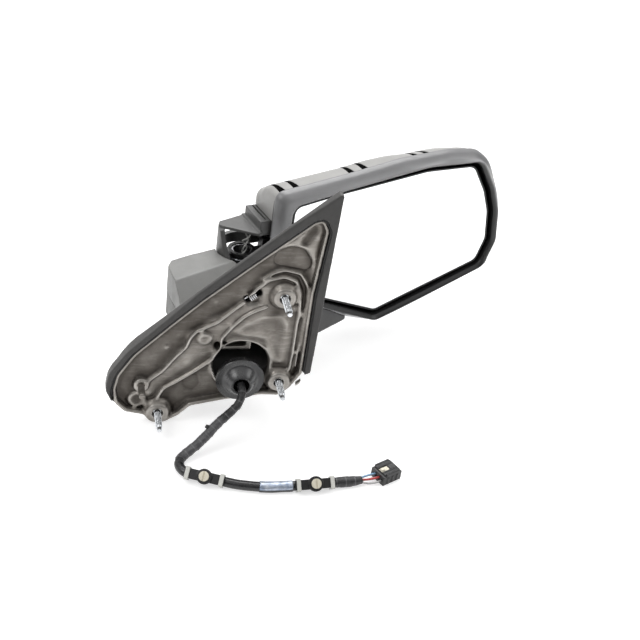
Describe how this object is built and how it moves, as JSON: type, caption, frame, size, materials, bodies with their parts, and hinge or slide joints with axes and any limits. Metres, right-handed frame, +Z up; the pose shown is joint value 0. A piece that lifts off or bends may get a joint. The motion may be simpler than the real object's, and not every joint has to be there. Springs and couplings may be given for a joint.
{
  "type": "car side mirror",
  "caption": "Folding exterior side mirror for a pickup truck: triangular cast mounting base with sail cover and wiring tail, folded head with bezel, housings and an adjustable mirror glass.",
  "frame": {"origin": "on the axis of the lower rear mounting stud, in the plane where the stud bosses meet the door", "axes": "+X towards the rear of the car, +Y outboard, away from the door, +Z up"},
  "size_m": [0.3914, 0.3122, 0.2285],
  "materials": {
    "cast_alloy": "as-cast, matt",
    "cover_plastic": "fine grain",
    "arm_plastic": "fine grain",
    "arm_plastic_dark": "fine grain",
    "seal_rubber": "soft",
    "zinc_steel": "zinc plated",
    "pin_alloy": "as cast",
    "clip_steel": "bright",
    "post_steel": "turned",
    "ring_steel": "dark coated",
    "wire_sheath": "smooth",
    "harness_tape": "wrapped tape",
    "clip_black": "moulded",
    "clip_band": "moulded",
    "clip_cream": "moulded nylon",
    "label_film": "clear sleeve over a bare label",
    "lead_sheath": "smooth",
    "plug_black": "moulded",
    "frame_plastic": "glass-filled",
    "bezel_plastic": "fine grain",
    "shell_plastic": "smooth primer grey",
    "lower_plastic": "fine grain",
    "shroud_plastic": "moulded",
    "motor_steel": "drawn cans",
    "nylon_white": "moulded nylon",
    "plate_plastic": "moulded",
    "heater_film": "printed film",
    "mirror": "polished"
  },
  "bodies": {
    "base": {"base_casting": "cast_alloy", "sail_cover": "cover_plastic", "cover_seal": "seal_rubber", "arm_cover_upper": "arm_plastic", "arm_cover_lower": "arm_plastic_dark", "arm_screws": "zinc_steel", "mounting_studs": "zinc_steel", "locating_pin": "pin_alloy", "casting_clip": "clip_steel", "pivot_post": "post_steel", "detent_ring_lower": "ring_steel", "pivot_spring": "post_steel", "spring_retainer": "ring_steel", "pivot_wires": "wire_sheath", "cable_grommet": "seal_rubber", "harness_cable": "harness_tape", "harness_clips": "clip_black", "clip_straps": "clip_band", "clip_buttons": "clip_cream", "label_sleeve": "label_film", "tape_tab": "harness_tape", "harness_leads": "lead_sheath", "connector_body": "plug_black", "connector_latch": "clip_cream"},
    "head": {"head_frame": "frame_plastic", "detent_ring_upper": "ring_steel", "bezel": "bezel_plastic", "upper_housing": "shell_plastic", "lower_housing": "lower_plastic", "lower_cover": "lower_plastic", "pivot_shroud": "shroud_plastic", "frame_screws": "zinc_steel", "adjuster_case": "frame_plastic", "adjuster_lid": "frame_plastic", "drive_motors": "motor_steel", "head_wires": "harness_tape"},
    "gimbal": {"gimbal": "nylon_white"},
    "glass": {"backing_plate": "plate_plastic", "heater_pad": "heater_film", "mirror_glass": "mirror"},
    "tilt_nut": {"tilt_nut": "nylon_white"},
    "pan_nut": {"pan_nut": "nylon_white"},
    "tilt_screw": {"tilt_screw": "nylon_white"},
    "pan_screw": {"pan_screw": "nylon_white"}
  },
  "joints": [
    {"name": "head_fold", "type": "hinge", "parent": "base", "child": "head", "pos_m": [-0.0245, 0.1105, 0.06], "axis": [0, 0, 1], "range_deg": [0, 105]},
    {"name": "glass_tilt", "type": "hinge", "parent": "head", "child": "gimbal", "pos_m": [0.12086, 0.14165, 0.067], "axis": [0.9537, 0.3007, 0], "range_deg": [-7, 7]},
    {"name": "glass_pan", "type": "hinge", "parent": "gimbal", "child": "glass", "pos_m": [0.12086, 0.14165, 0.067], "axis": [0, 0, 1], "range_deg": [-7, 7]},
    {"name": "tilt_screw_slide", "type": "slide", "parent": "head", "child": "tilt_screw", "axis": [-0.3007, 0.9537, 0], "range_m": [-0.0036, 0.0036]},
    {"name": "pan_screw_slide", "type": "slide", "parent": "head", "child": "pan_screw", "axis": [-0.3007, 0.9537, 0], "range_m": [-0.0036, 0.0036]},
    {"name": "tilt_nut_spin", "type": "hinge", "parent": "head", "child": "tilt_nut", "pos_m": [0.11665, 0.155, 0.095], "axis": [-0.3007, 0.9537, 0], "range_deg": [-415, 415]},
    {"name": "pan_nut_spin", "type": "hinge", "parent": "head", "child": "pan_nut", "pos_m": [0.14335, 0.16342, 0.067], "axis": [-0.3007, 0.9537, 0], "range_deg": [-415, 415]}
  ],
  "couplings": [
    {"joint": "tilt_screw_slide", "follows": "glass_tilt", "m_per_rad": -0.028},
    {"joint": "pan_screw_slide", "follows": "glass_pan", "m_per_rad": 0.028},
    {"joint": "tilt_nut_spin", "follows": "glass_tilt", "ratio": -58.643},
    {"joint": "pan_nut_spin", "follows": "glass_pan", "ratio": 58.643}
  ]
}
